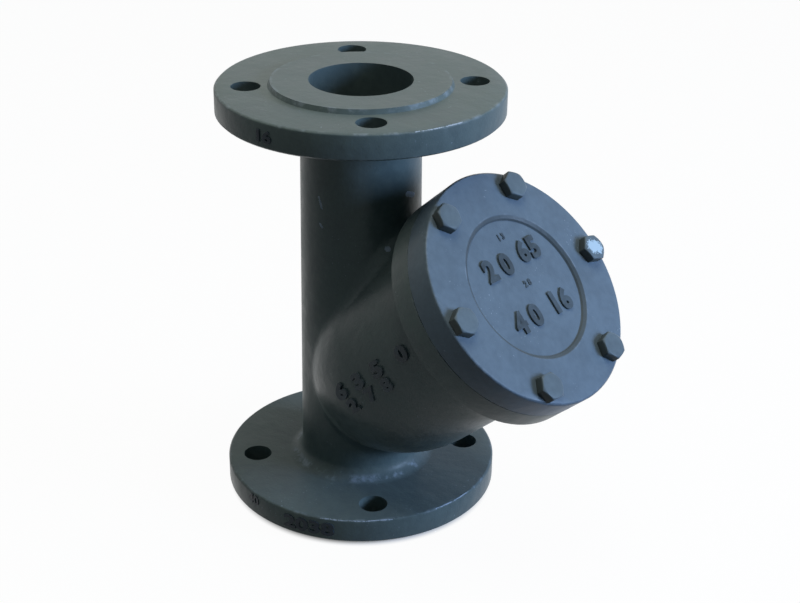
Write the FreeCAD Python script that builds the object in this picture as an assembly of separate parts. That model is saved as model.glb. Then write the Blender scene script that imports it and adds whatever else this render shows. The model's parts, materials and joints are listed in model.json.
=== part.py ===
import FreeCAD, Part
import math
import os

# A cast iron dirt strainer between two pipe flanges: a straight run, a barrel that leans
# out of it, a bolted cover over the barrel and a perforated basket inside.
# The origin is the middle of the lower flange's sealing face. Z runs up the pipe to the
# outlet, and the barrel leans towards +X. All lengths are in millimetres.

# Straight run and its two pipe flanges
FACE_TO_FACE = 290.0
BORE = 66.5
PORT_LENGTH = 30.0
PORT_TAPER = 3.0
PASSAGE_WIDENING = 1.5
RUN_DIAMETER_LOW = 82.0
RUN_DIAMETER_HIGH = 78.0
FLANGE_DIAMETER = 185.0
FLANGE_THICKNESS = 20.0
FLANGE_CHAMFER = 1.5
RAISED_FACE_DIAMETER = 118.0
RAISED_FACE_HEIGHT = 3.0
RAISED_FACE_SLOPE = 1.5
FLANGE_BOLT_CIRCLE = 145.0
FLANGE_HOLE = 19.0
FLANGE_HOLE_COUNT = 4
LOW_HOLES_ANGLE = 46.5
HIGH_HOLES_ANGLE = 45.0
LOW_FLANGE_FILLET = 10.0
HIGH_FLANGE_COLLAR = 3.0

# Leaning barrel, measured along its own axis from where that axis crosses the run's.
# Its closed end is an arc that starts inside the run and keeps clear of the lower flange.
BRANCH_ANGLE = 47.7
BARREL_DIAMETER = 125.0
BARREL_WALL = 9.0
NOSE_CLEARANCE = 11.0
NOSE_DROP_SHARE = 0.28
NOSE_LENGTH_SHARE = 0.52
NOSE_START_SHARE = 0.94
BARREL_FILLET = 10.0

# Strainer basket: a perforated tube held by a rolled ring at each end, with a mesh sleeve
BASKET_DIAMETER = 76.0
BASKET_SHEET = 1.5
RING_WALL = 1.0
RING_HEIGHT = 6.0
RING_LIP = 2.0
RING_LIP_WIDTH = 4.0
RING_CLEARANCE = 0.3
BASKET_CLEARANCE = 0.1
BASKET_END_GAP = 0.3
PERFORATION = 12.0
PERFORATION_SIDE_COUNT = 8
PERFORATION_ROW_COUNT = 7
PERFORATION_COUNT_PER_ROW = 12
PERFORATION_MARGIN = 15.0
MESH_THICKNESS = 0.6
MESH_CLEARANCE = 0.1

# Slanted wall inside, between the dirty and the clean side, with the basket's seat in it
WALL_LOW_FACE = 5.0
WALL_HIGH_FACE = 13.0
SEAT_LEDGE = 10.0
SEAT_LAND = 2.0
SEAT_RUN_OUT = 2.0

# Flange at the barrel's mouth, with its cover, gasket and bolts. The flange's back stands
# off the crotch, where the barrel's upper side meets the run.
MOUTH_STANDOFF = 34.4
COVER_THICKNESS = 18.0
COVER_CHAMFER = 1.5
COVER_RECESS_DIAMETER = 96.0
COVER_RECESS_DEPTH = 2.3
COVER_RECESS_SLOPE = 4.0
COVER_GROOVE_DEPTH = 2.0
MOUTH_RIM = 15.0
MOUTH_FLANGE_THICKNESS = 17.5
MOUTH_COLLAR = 3.0
JOINT_GAP = 0.5
GASKET_THICKNESS = 2.0
GASKET_WIDTH = 5.6
GASKET_SETBACK = 0.6
GASKET_CLEARANCE = 0.3
COVER_BOLT_EDGE = 9.75
COVER_BOLT_COUNT = 6
COVER_BOLT_START_ANGLE = 30.0
COVER_HOLE = 12.0

# Hexagon bolts of the cover, each head left turned as it was tightened
BOLT_DIAMETER = 10.0
BOLT_LENGTH = 30.0
HEAD_ACROSS_FLATS = 16.0
HEAD_HEIGHT = 6.4
HEAD_ANGLES = (14.5, 46.0, 27.0, 20.5, 29.5, 55.0)
THREAD_CLEARANCE = 0.2
TAPPED_DEPTH = 14.0

# Sizes and places that follow from those above
NOSE_LENGTH = NOSE_LENGTH_SHARE * BARREL_DIAMETER
NOSE_RISE = (BARREL_DIAMETER - NOSE_START_SHARE * RUN_DIAMETER_LOW) / 2
NOSE_ARC = (NOSE_LENGTH * NOSE_LENGTH + NOSE_RISE * NOSE_RISE) / 2 / NOSE_RISE
BRANCH_HEIGHT = FLANGE_THICKNESS + NOSE_CLEARANCE + NOSE_DROP_SHARE * BARREL_DIAMETER
COVER_DIAMETER = BARREL_DIAMETER + 2 * MOUTH_RIM
COVER_BOLT_CIRCLE = COVER_DIAMETER - 2 * COVER_BOLT_EDGE
LEAN_ANGLE = math.radians(BRANCH_ANGLE)
CROTCH = (RUN_DIAMETER_HIGH + BARREL_DIAMETER * math.cos(LEAN_ANGLE)) / 2 / math.sin(LEAN_ANGLE)
MOUTH_BACK = CROTCH + MOUTH_STANDOFF
MOUTH_FACE = MOUTH_BACK + MOUTH_FLANGE_THICKNESS
COVER_INNER_FACE = MOUTH_FACE + JOINT_GAP
COVER_FACE_DISTANCE = COVER_INNER_FACE + COVER_THICKNESS
CAVITY_RADIUS = BARREL_DIAMETER / 2 - BARREL_WALL
GASKET_INNER_RADIUS = CAVITY_RADIUS + GASKET_SETBACK
UPPER_FLANGE_BACK = FACE_TO_FACE - FLANGE_THICKNESS
RING_DIAMETER = BASKET_DIAMETER + 2 * RING_WALL
RING_BORE = RING_DIAMETER - 2 * RING_LIP_WIDTH
SEAT_RADIUS = RING_DIAMETER / 2 + RING_CLEARANCE
SEAT_OPENING = RING_BORE - 2 * SEAT_LAND
BASKET_LOW = SEAT_LEDGE + RING_LIP
BASKET_TOP = COVER_INNER_FACE + COVER_GROOVE_DEPTH - BASKET_END_GAP
BASKET_HIGH = BASKET_TOP - RING_LIP

# How far a cutting tool runs out past the face it cuts, how long one is that takes all
# beyond a plane, and how close a point lies that is on a surface
RUN_OUT = 1.0
FAR = 1000.0
TINY = 0.01
UP = FreeCAD.Vector(0, 0, 1)
ORIGIN = FreeCAD.Vector(0, 0, 0)
LEAN = FreeCAD.Rotation(FreeCAD.Vector(0, 1, 0), BRANCH_ANGLE)
BRANCH = FreeCAD.Placement(FreeCAD.Vector(0, 0, BRANCH_HEIGHT), LEAN)


def cylinder(diameter, low, high):
    """A plain cylinder about Z between two heights."""
    return Part.makeCylinder(diameter / 2, high - low, FreeCAD.Vector(0, 0, low), UP)


def ring(outer, inner, low, high):
    """A flat ring about Z between two heights."""
    return cylinder(outer, low, high).cut(cylinder(inner, low - RUN_OUT, high + RUN_OUT))


def corner(radius, height):
    """A point of a half section in the XZ plane."""
    return FreeCAD.Vector(radius, 0, height)


def chain(points):
    """Straight edges from each (radius, height) point to the next."""
    corners = [corner(*point) for point in points]
    return [Part.makeLine(a, b) for a, b in zip(corners, corners[1:])]


def turned(edges):
    """A solid of revolution about Z from the edges of a closed half section."""
    face = Part.Face(Part.Wire(edges))
    return Part.Solid(face.revolve(ORIGIN, UP, 360))


def on_branch(shape):
    """The shape moved from its own Z axis to the barrel's axis."""
    moved = shape.copy()
    moved.Placement = BRANCH.multiply(moved.Placement)
    return moved


def around(shape, count, start):
    """Copies of a shape at even steps around Z."""
    copies = []
    for index in range(count):
        turn = FreeCAD.Rotation(UP, start + index * 360.0 / count)
        copy = shape.copy()
        copy.Placement = FreeCAD.Placement(ORIGIN, turn).multiply(copy.Placement)
        copies.append(copy)
    return copies


def round_hole(diameter, circle, low, high):
    """A drill that stands on a bolt circle, between two heights."""
    place = FreeCAD.Vector(circle / 2, 0, low)
    return Part.makeCylinder(diameter / 2, high - low, place, UP)


def run_radius(height):
    """Outer radius of the run, which narrows a little from the lower to the upper flange."""
    share = (height - FLANGE_THICKNESS) / (UPPER_FLANGE_BACK - FLANGE_THICKNESS)
    return (RUN_DIAMETER_LOW + share * (RUN_DIAMETER_HIGH - RUN_DIAMETER_LOW)) / 2


def run_form():
    """The run and both pipe flanges as one turned solid, with the large fillet low down."""
    rim = FLANGE_DIAMETER / 2
    face = RAISED_FACE_DIAMETER / 2
    fillet_top = FLANGE_THICKNESS + LOW_FLANGE_FILLET
    foot = run_radius(fillet_top)
    collar = UPPER_FLANGE_BACK - HIGH_FLANGE_COLLAR
    low_side = chain([
        (0, 0), (face - RAISED_FACE_SLOPE, 0), (face, RAISED_FACE_HEIGHT),
        (rim - FLANGE_CHAMFER, RAISED_FACE_HEIGHT), (rim, RAISED_FACE_HEIGHT + FLANGE_CHAMFER),
        (rim, FLANGE_THICKNESS - FLANGE_CHAMFER), (rim - FLANGE_CHAMFER, FLANGE_THICKNESS),
        (foot + LOW_FLANGE_FILLET, FLANGE_THICKNESS)])
    reach = LOW_FLANGE_FILLET * (1 - math.sqrt(0.5))
    fillet = Part.Arc(corner(foot + LOW_FLANGE_FILLET, FLANGE_THICKNESS),
                      corner(foot + reach, FLANGE_THICKNESS + reach),
                      corner(foot, fillet_top)).toShape()
    high_side = chain([
        (foot, fillet_top), (run_radius(collar), collar),
        (run_radius(collar) + HIGH_FLANGE_COLLAR, UPPER_FLANGE_BACK),
        (rim - FLANGE_CHAMFER, UPPER_FLANGE_BACK), (rim, UPPER_FLANGE_BACK + FLANGE_CHAMFER),
        (rim, FACE_TO_FACE - RAISED_FACE_HEIGHT - FLANGE_CHAMFER),
        (rim - FLANGE_CHAMFER, FACE_TO_FACE - RAISED_FACE_HEIGHT),
        (face, FACE_TO_FACE - RAISED_FACE_HEIGHT), (face - RAISED_FACE_SLOPE, FACE_TO_FACE),
        (0, FACE_TO_FACE), (0, 0)])
    return turned(low_side + [fillet] + high_side)


def nose_radius(along, inset):
    """Radius of the barrel's surface, or of one set in from it, at a place along its axis."""
    back = max(NOSE_LENGTH - along, 0.0)
    arc = NOSE_ARC - inset
    return BARREL_DIAMETER / 2 - NOSE_ARC + math.sqrt(arc * arc - back * back)


def nose_reach(radius, inset):
    """The place along the axis where that surface has grown to a radius."""
    arc = NOSE_ARC - inset
    rise = radius + NOSE_ARC - BARREL_DIAMETER / 2
    return NOSE_LENGTH - math.sqrt(arc * arc - rise * rise)


def barrel_outside():
    """The barrel: its lower end closes in along an arc, and its mouth has a flange with a collar."""
    side = BARREL_DIAMETER / 2
    rim = COVER_DIAMETER / 2
    foot = corner(nose_radius(0.0, 0.0), 0)
    arc = Part.Arc(foot, corner(nose_radius(NOSE_LENGTH / 2, 0.0), NOSE_LENGTH / 2),
                   corner(side, NOSE_LENGTH)).toShape()
    mouth = chain([
        (side, NOSE_LENGTH), (side, MOUTH_BACK - MOUTH_COLLAR), (side + MOUTH_COLLAR, MOUTH_BACK),
        (rim - COVER_CHAMFER, MOUTH_BACK), (rim, MOUTH_BACK + COVER_CHAMFER), (rim, MOUTH_FACE),
        (0, MOUTH_FACE), (0, 0), (foot.x, 0)])
    return turned([arc] + mouth)


def edges_between(shape, first, second):
    """The edges whose points lie on both surfaces, each given by a test on a point."""
    found = []
    for edge in shape.Edges:
        low, high = edge.ParameterRange
        points = [edge.valueAt(low + share * (high - low)) for share in (0.2, 0.5, 0.8)]
        if all(first(point) and second(point) for point in points):
            found.append(edge)
    return found


def on_run(point):
    """True on the run's outer surface."""
    return abs(math.hypot(point.x, point.y) - run_radius(point.z)) < TINY


def on_barrel(point):
    """True on the barrel's outer surface."""
    local = BRANCH.inverse().multVec(point)
    return abs(math.hypot(local.x, local.y) - nose_radius(local.z, 0.0)) < TINY


def casting_outside():
    """The outer form of the casting, with the fillet that a sand mould leaves round the barrel."""
    outside = run_form().fuse(on_branch(barrel_outside())).removeSplitter()
    return outside.makeFillet(BARREL_FILLET, edges_between(outside, on_run, on_barrel))


def cavity_form():
    """The barrel's hollow, which follows the outside at the wall's thickness in two tapers."""
    middle = (WALL_HIGH_FACE + NOSE_LENGTH) / 2
    section = [(0, WALL_HIGH_FACE), (nose_radius(WALL_HIGH_FACE, BARREL_WALL), WALL_HIGH_FACE),
               (nose_radius(middle, BARREL_WALL), middle), (CAVITY_RADIUS, NOSE_LENGTH),
               (CAVITY_RADIUS, MOUTH_FACE + RUN_OUT), (0, MOUTH_FACE + RUN_OUT), (0, WALL_HIGH_FACE)]
    return turned(chain(section))


def passage(past):
    """The pipe's inside from its sealing face inwards: a true bore, then a slightly wider passage."""
    bore = BORE / 2
    wide = bore + PASSAGE_WIDENING / 2
    section = [(0, -RUN_OUT), (bore, -RUN_OUT), (bore, PORT_LENGTH),
               (wide, PORT_LENGTH + PORT_TAPER), (wide, past), (0, past), (0, -RUN_OUT)]
    return turned(chain(section))


def casting_inside():
    """The hollow of the casting: inlet, throat, seat, barrel cavity and outlet."""
    below = on_branch(cylinder(FAR, -FAR, WALL_LOW_FACE))
    above = on_branch(cylinder(FAR, WALL_HIGH_FACE, FAR))
    inlet = passage(FACE_TO_FACE / 2).common(below)
    outlet = passage(FACE_TO_FACE - BRANCH_HEIGHT)
    outlet.Placement = FreeCAD.Placement(FreeCAD.Vector(0, 0, FACE_TO_FACE),
                                         FreeCAD.Rotation(FreeCAD.Vector(1, 0, 0), 180))
    outlet = outlet.common(above)
    seat_top = nose_reach(SEAT_RADIUS, BARREL_WALL) + SEAT_RUN_OUT
    throat = on_branch(cylinder(SEAT_OPENING, 0, SEAT_LEDGE + RUN_OUT))
    seat = on_branch(cylinder(2 * SEAT_RADIUS, SEAT_LEDGE, seat_top))
    cavity = on_branch(cavity_form())
    rebate_radius = GASKET_INNER_RADIUS + GASKET_WIDTH + GASKET_CLEARANCE
    rebate = on_branch(cylinder(2 * rebate_radius, COVER_INNER_FACE - GASKET_THICKNESS,
                                MOUTH_FACE + RUN_OUT))
    return [inlet, outlet, throat, seat, cavity, rebate]


def body_casting():
    """The one-piece body, with its flanges drilled and the mouth flange tapped."""
    solid = casting_outside()
    low = round_hole(FLANGE_HOLE, FLANGE_BOLT_CIRCLE, -RUN_OUT, FLANGE_THICKNESS + RUN_OUT)
    high = round_hole(FLANGE_HOLE, FLANGE_BOLT_CIRCLE,
                      UPPER_FLANGE_BACK - RUN_OUT, FACE_TO_FACE + RUN_OUT)
    tapped = round_hole(BOLT_DIAMETER + 2 * THREAD_CLEARANCE, COVER_BOLT_CIRCLE,
                        MOUTH_FACE - TAPPED_DEPTH, MOUTH_FACE + RUN_OUT)
    tools = casting_inside()
    tools += around(low, FLANGE_HOLE_COUNT, LOW_HOLES_ANGLE)
    tools += around(high, FLANGE_HOLE_COUNT, HIGH_HOLES_ANGLE)
    tools += [on_branch(hole) for hole in around(tapped, COVER_BOLT_COUNT, COVER_BOLT_START_ANGLE)]
    for tool in tools:
        solid = solid.cut(tool)
    return solid


def cover():
    """The cover: a round plate with a shallow dished recess and a groove for the basket."""
    rim = COVER_DIAMETER / 2
    recess = COVER_RECESS_DIAMETER / 2
    floor = COVER_FACE_DISTANCE - COVER_RECESS_DEPTH
    groove_top = COVER_INNER_FACE + COVER_GROOVE_DEPTH
    groove_inner = RING_BORE / 2 - RING_CLEARANCE
    plate = turned(chain([
        (0, COVER_INNER_FACE), (groove_inner, COVER_INNER_FACE), (groove_inner, groove_top),
        (SEAT_RADIUS, groove_top), (SEAT_RADIUS, COVER_INNER_FACE),
        (rim, COVER_INNER_FACE), (rim, COVER_FACE_DISTANCE - COVER_CHAMFER),
        (rim - COVER_CHAMFER, COVER_FACE_DISTANCE),
        (recess, COVER_FACE_DISTANCE), (recess - COVER_RECESS_SLOPE, floor), (0, floor),
        (0, COVER_INNER_FACE)]))
    hole = round_hole(COVER_HOLE, COVER_BOLT_CIRCLE,
                      COVER_INNER_FACE - RUN_OUT, COVER_FACE_DISTANCE + RUN_OUT)
    return on_branch(plate.cut(around(hole, COVER_BOLT_COUNT, COVER_BOLT_START_ANGLE)))


def cover_gasket():
    """The flat gasket, in its rebate inside the ring of bolts."""
    outer = GASKET_INNER_RADIUS + GASKET_WIDTH
    return on_branch(ring(2 * outer, 2 * GASKET_INNER_RADIUS,
                          COVER_INNER_FACE - GASKET_THICKNESS, COVER_INNER_FACE))


def prism(across_corners, sides, turn, height):
    """A regular prism on the plane Z = 0."""
    start = FreeCAD.Vector(across_corners / 2, 0, 0)
    corners = [FreeCAD.Rotation(UP, turn + 360.0 * index / sides).multVec(start)
               for index in range(sides + 1)]
    return Part.Face(Part.makePolygon(corners)).extrude(UP * height)


def cover_bolts():
    """The six bolts in their places on the cover."""
    across_corners = 2 * HEAD_ACROSS_FLATS / math.sqrt(3)
    bolts = {}
    for index in range(COVER_BOLT_COUNT):
        head = prism(across_corners, 6, HEAD_ANGLES[index % len(HEAD_ANGLES)], HEAD_HEIGHT)
        bolt = head.fuse(cylinder(BOLT_DIAMETER, -BOLT_LENGTH, 0)).removeSplitter()
        bolt.translate(FreeCAD.Vector(COVER_BOLT_CIRCLE / 2, 0, COVER_FACE_DISTANCE))
        turn = COVER_BOLT_START_ANGLE + index * 360.0 / COVER_BOLT_COUNT
        bolt.rotate(ORIGIN, UP, turn)
        bolts["cover_bolt_%d" % (index + 1)] = on_branch(bolt)
    return bolts


def basket_ring(lip_low, lip_high, rim_low, rim_high):
    """An end ring: a lip that the tube's end stands on and a rim that goes round it."""
    lip = ring(RING_DIAMETER, RING_BORE, lip_low, lip_high)
    rim = ring(RING_DIAMETER, BASKET_DIAMETER + 2 * BASKET_CLEARANCE, rim_low, rim_high)
    return on_branch(lip.fuse(rim).removeSplitter())


def basket_tube():
    """The perforated tube of the basket, with its holes in staggered rows."""
    tube = ring(BASKET_DIAMETER, BASKET_DIAMETER - 2 * BASKET_SHEET, BASKET_LOW, BASKET_HIGH)
    pitch = (BASKET_HIGH - BASKET_LOW - 2 * PERFORATION_MARGIN) / (PERFORATION_ROW_COUNT - 1)
    step = 360.0 / PERFORATION_COUNT_PER_ROW
    drills = []
    for row in range(PERFORATION_ROW_COUNT):
        drill = prism(PERFORATION, PERFORATION_SIDE_COUNT, 180.0 / PERFORATION_SIDE_COUNT,
                      BASKET_DIAMETER)
        drill.Placement = FreeCAD.Placement(
            FreeCAD.Vector(0, 0, BASKET_LOW + PERFORATION_MARGIN + row * pitch),
            FreeCAD.Rotation(FreeCAD.Vector(0, 1, 0), 90))
        drills += around(drill, PERFORATION_COUNT_PER_ROW, (row % 2) * step / 2)
    return on_branch(tube.cut(drills))


def mesh_sleeve():
    """The fine wire sleeve that lies inside the perforated tube."""
    outer = BASKET_DIAMETER - 2 * BASKET_SHEET - 2 * MESH_CLEARANCE
    return on_branch(ring(outer, outer - 2 * MESH_THICKNESS, BASKET_LOW, BASKET_HIGH))


def build():
    """Every piece of the strainer by name."""
    pieces = {
        "body_casting": body_casting(),
        "cover": cover(),
        "cover_gasket": cover_gasket(),
        "basket_tube": basket_tube(),
        "basket_mesh": mesh_sleeve(),
        "basket_lower_ring": basket_ring(SEAT_LEDGE, BASKET_LOW, BASKET_LOW, SEAT_LEDGE + RING_HEIGHT),
        "basket_upper_ring": basket_ring(BASKET_HIGH, BASKET_TOP, BASKET_TOP - RING_HEIGHT, BASKET_HIGH),
    }
    pieces.update(cover_bolts())
    return pieces


os.makedirs("parts", exist_ok=True)
for name, shape in build().items():
    shape.exportStep("parts/%s.step" % name)
    box = shape.BoundBox
    print("%-20s solids %d  volume %.0f  valid %s  box %.1f %.1f %.1f to %.1f %.1f %.1f" % (
        name, len(shape.Solids), shape.Volume, shape.isValid(),
        box.XMin, box.YMin, box.ZMin, box.XMax, box.YMax, box.ZMax))
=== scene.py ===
# %% [markdown]
# This lesson dresses a cast iron dirt strainer: a straight pipe between two flanges, with a
# barrel leaning out of it, a bolted cover and a perforated basket inside. The solids come
# ready made, at their real size, as a fixed frame. What is left for Blender is what a painter
# and a foundry leave on the metal: the skin of the sand mould, thick paint and its wear,
# cast numbers, a scuffed bolt, and the fine wire of the basket. The first cell loads the frame.

# %% Load the frame
import json
import math

import bmesh
import bpy
import numpy as np
from mathutils import Matrix, Vector


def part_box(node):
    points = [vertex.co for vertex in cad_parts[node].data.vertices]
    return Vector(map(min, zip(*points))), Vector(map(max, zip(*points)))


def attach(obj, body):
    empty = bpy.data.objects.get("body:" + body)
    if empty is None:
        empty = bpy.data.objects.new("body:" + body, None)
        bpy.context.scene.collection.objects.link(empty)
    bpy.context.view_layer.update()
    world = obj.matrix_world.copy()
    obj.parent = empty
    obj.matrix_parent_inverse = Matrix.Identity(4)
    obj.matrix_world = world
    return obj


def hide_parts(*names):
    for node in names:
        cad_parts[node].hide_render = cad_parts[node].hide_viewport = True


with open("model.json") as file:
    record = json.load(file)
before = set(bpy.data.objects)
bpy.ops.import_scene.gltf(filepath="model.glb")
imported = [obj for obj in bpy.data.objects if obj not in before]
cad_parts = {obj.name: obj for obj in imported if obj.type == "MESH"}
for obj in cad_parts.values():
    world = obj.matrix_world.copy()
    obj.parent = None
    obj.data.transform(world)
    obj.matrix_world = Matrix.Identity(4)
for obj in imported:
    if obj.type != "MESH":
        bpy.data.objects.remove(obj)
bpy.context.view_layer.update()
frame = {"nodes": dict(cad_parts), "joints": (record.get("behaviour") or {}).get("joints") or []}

MM = 0.001
print("nodes:", sorted(frame["nodes"]))

# %% [markdown]
# The main sizes that the later cells need are read off the frame, so that a change in the
# solids carries through; others are written as numbers in their cells. The barrel leans: its
# direction is the axis of the joint that lifts the cover. The gasket is a ring on that axis, so a
# line drawn back from the middle of its corners meets the pipe's own axis at the barrel's foot.
# Positions on the barrel are then given as a distance along it and a radius from it, which is
# how a turner would measure it.

# %% Sizes read off the frame
joints = {joint["name"]: joint for joint in frame["joints"]}
ALONG = np.array(joints["cover_lift"]["axis"], float)
ALONG = ALONG / np.linalg.norm(ALONG)
ACROSS = np.array([0.0, 1.0, 0.0])
UPHILL = np.cross(ALONG, ACROSS)

gasket_low, gasket_high = (np.array(corner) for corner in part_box("cover_gasket"))
gasket_middle = (gasket_low + gasket_high) / 2
FOOT = np.array([0.0, 0.0, gasket_middle[2] - gasket_middle[0] * ALONG[2] / ALONG[0]])


def mesh_places(mesh):
    """A mesh's corners as (reach, side, rise) on the barrel: along its axis, across it and uphill."""
    spots = np.empty(len(mesh.vertices) * 3)
    mesh.vertices.foreach_get("co", spots)
    away = spots.reshape(-1, 3) - FOOT
    return np.stack([away @ ALONG, away @ ACROSS, away @ UPHILL], axis=1)


def node_places(node):
    """The same for one of the frame's nodes."""
    return mesh_places(frame["nodes"][node].data)


cover_places = node_places("cover")
COVER_RADIUS = float(np.hypot(cover_places[:, 1], cover_places[:, 2]).max())
COVER_FACE = float(cover_places[:, 0].max())
COVER_THICKNESS = COVER_FACE - float(cover_places[:, 0].min())
casting_low, casting_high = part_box("body_casting")
BOTTOM, TOP = float(casting_low[2]), float(casting_high[2])
FLANGE_RADIUS = float(casting_high[1] - casting_low[1]) / 2
print("barrel leans %.1f degrees from the pipe and starts %.1f mm up" % (
    math.degrees(math.atan2(ALONG[0], ALONG[2])), FOOT[2] / MM))
print("cover radius %.1f mm, thickness %.1f mm, face at %.1f mm along" % (
    COVER_RADIUS / MM, COVER_THICKNESS / MM, COVER_FACE / MM))


def on_branch(reach, side, rise):
    """Points in the scene from places on the barrel: foot + reach along + side across + rise uphill."""
    reach, side, rise = np.broadcast_arrays(reach, side, rise)
    return FOOT + reach[..., None] * ALONG + side[..., None] * ACROSS + rise[..., None] * UPHILL


def plain(spot):
    """A place as three plain numbers, which is what a node's socket takes."""
    return tuple(map(float, spot))


def on_axis(reach):
    """A point on the barrel's axis."""
    return plain(FOOT + reach * ALONG)


AXIS = plain(ALONG)


# %% [markdown]
# A material is a small graph of nodes. Wiring it by hand takes two lines for every node, so a
# short helper adds a node, sets its values and links its inputs in one line. Everything that
# the finishes share is then built once as a node group, with named inputs and outputs. Two
# more helpers do the same for a piece: one makes its mesh and the other shows it.

# %% Helpers for node graphs and pieces
class Graph:
    """Adds nodes to one tree. An input has a name or number, and is a value or another node's socket."""

    def __init__(self, tree):
        self.tree = tree

    def node(self, kind, inputs=None, **settings):
        node = self.tree.nodes.new("ShaderNode" + kind)
        for name, value in settings.items():
            setattr(node, name, value)
        for key, value in (inputs or {}).items():
            if isinstance(value, bpy.types.NodeSocket):
                self.tree.links.new(value, node.inputs[key])
            else:
                node.inputs[key].default_value = value
        return node

    def math(self, operation, *values):
        return self.node("Math", dict(enumerate(values)), operation=operation).outputs[0]

    def vector(self, operation, *values):
        node = self.node("VectorMath", dict(enumerate(values)), operation=operation)
        return node.outputs["Value" if operation in ("DOT_PRODUCT", "LENGTH", "DISTANCE") else "Vector"]

    def fade(self, value, low, high):
        """0 at low and 1 at high, eased at both ends; low may be the larger."""
        return self.node("MapRange", {"Value": value, "From Min": low, "From Max": high},
                         interpolation_type="SMOOTHSTEP").outputs["Result"]

    def noise(self, place, grain, detail=2.0, roughness=0.5):
        """Cloudy noise whose lumps are about one grain, in metres, across."""
        return self.node("TexNoise", {"Vector": place, "Scale": 1.0 / grain, "Detail": detail,
                                      "Roughness": roughness}).outputs["Fac"]

    def mix(self, share, first, second):
        return self.node("Mix", {0: share, 6: first, 7: second}, data_type="RGBA").outputs[2]


def new_group(name, inputs, outputs):
    """A node group with named sockets: its Graph, its input sockets and its output node."""
    tree = bpy.data.node_groups.new(name, "ShaderNodeTree")
    kinds = {"float": "NodeSocketFloat", "vector": "NodeSocketVector", "color": "NodeSocketColor"}
    for socket, kind in inputs.items():
        tree.interface.new_socket(socket, in_out="INPUT", socket_type=kinds[kind])
    for socket, kind in outputs.items():
        tree.interface.new_socket(socket, in_out="OUTPUT", socket_type=kinds[kind])
    graph = Graph(tree)
    into = tree.nodes.new("NodeGroupInput").outputs
    out = tree.nodes.new("NodeGroupOutput").inputs
    return graph, into, out


def use_group(graph, group, inputs):
    """The outputs of a group placed in another tree with its own values."""
    return graph.node("Group", inputs, node_tree=bpy.data.node_groups[group]).outputs


def begin_material(name):
    """An empty node material, its Graph, and the piece's own coordinates in it."""
    material = bpy.data.materials.new(name)
    material.use_nodes = True
    material.node_tree.nodes.clear()
    graph = Graph(material.node_tree)
    return material, graph, graph.node("TexCoord").outputs["Object"]


def end_material(graph, inputs):
    """The shader with its inputs, led to the material's output."""
    graph.node("OutputMaterial", {"Surface": graph.node("BsdfPrincipled", inputs).outputs[0]})


def mesh_of(name, corners, faces):
    """A mesh from an array of corners and a list of faces, each a list of corner numbers."""
    mesh = bpy.data.meshes.new(name)
    mesh.from_pydata(corners, [], [tuple(face) for face in faces])
    return mesh


def shown(name, data):
    """An object that shows a mesh, a lamp or a camera in the scene, where its own coordinates put it."""
    piece = bpy.data.objects.new(name, data)
    bpy.context.scene.collection.objects.link(piece)
    return piece


print("node helper ready:", ", ".join(name for name in vars(Graph) if not name.startswith("_")))

# %% [markdown]
# The camera stands where the photographer stood. Its place, its aim and its small roll were
# worked out from the ellipses of the flanges and the cover, so the render can be laid over
# the photograph. A long lens, far away, keeps the two flanges nearly parallel.

# %% Camera at the photograph's angle
CAMERA_PLACE = Vector((0.61147, -0.72253, 0.60128))
CAMERA_AIM = Vector((0.03348, 0.0, 0.14468))
CAMERA_ROLL = math.radians(0.685)
CAMERA_LENS = 70.61


def photo_camera():
    """A camera whose -Z axis is turned along the line from its place to its aim, then rolled about it."""
    data = bpy.data.cameras.new("photo_camera")
    data.sensor_fit = "HORIZONTAL"
    data.sensor_width = 36.0
    data.lens = CAMERA_LENS
    camera = shown("photo_camera", data)
    turn = (CAMERA_AIM - CAMERA_PLACE).to_track_quat("-Z", "Y").to_matrix().to_4x4()
    camera.matrix_world = Matrix.Translation(CAMERA_PLACE) @ turn @ Matrix.Rotation(CAMERA_ROLL, 4, "Z")
    return camera


bpy.context.scene.camera = photo_camera()
bpy.context.scene.view_settings.view_transform = "Standard"
print("camera stands %.2f m away" % (CAMERA_PLACE - CAMERA_AIM).length)

# %% [markdown]
# A product photograph of this kind is taken in a light tent. One broad lamp hangs overhead,
# and a cooler one stands on the cover's side, which is why the cover looks bluer than the
# pipe; the cover's paint also has some of that cool light painted into it. The world fills
# in the rest. What the camera and the gloss see of the world is plain white, but what lights
# the iron is weaker, so that its colours come out as they are written.
# The floor does the same: it is white to look at, apart from the object's shadow, and throws
# little light back. A brighter lamp would whiten it too, but would bleach the paint.

# %% Light and floor
WORLD_FILL = 0.1
WORLD_FILL_COLOR = (0.62, 0.9, 1.0, 1.0)
FLOOR_REACH, FLOOR_LEVEL, FLOOR_WHITE = 6.0, -0.2 * MM, 0.965
UNLIT_RADIUS, LIT_RADIUS = 84 * MM, 93 * MM


def seen_directly(graph):
    """A mask: 1 for what the camera sees, also in a reflection or through glass, and 0 for light."""
    path = graph.node("LightPath").outputs
    either = graph.math("MAXIMUM", path["Is Camera Ray"], path["Is Glossy Ray"])
    return graph.math("MAXIMUM", either, path["Is Transmission Ray"])


def studio_world():
    """A white world to look at, with a weaker, faintly cool light for the object."""
    world = bpy.data.worlds.new("studio")
    world.use_nodes = True
    world.node_tree.nodes.clear()
    graph = Graph(world.node_tree)
    fill = graph.node("Background", {"Color": WORLD_FILL_COLOR, "Strength": WORLD_FILL})
    white = graph.node("Background", {"Color": (1, 1, 1, 1), "Strength": 1.0})
    mix = graph.node("MixShader", {0: seen_directly(graph), 1: fill.outputs[0], 2: white.outputs[0]})
    graph.node("OutputWorld", {"Surface": mix.outputs[0]})
    bpy.context.scene.world = world


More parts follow.
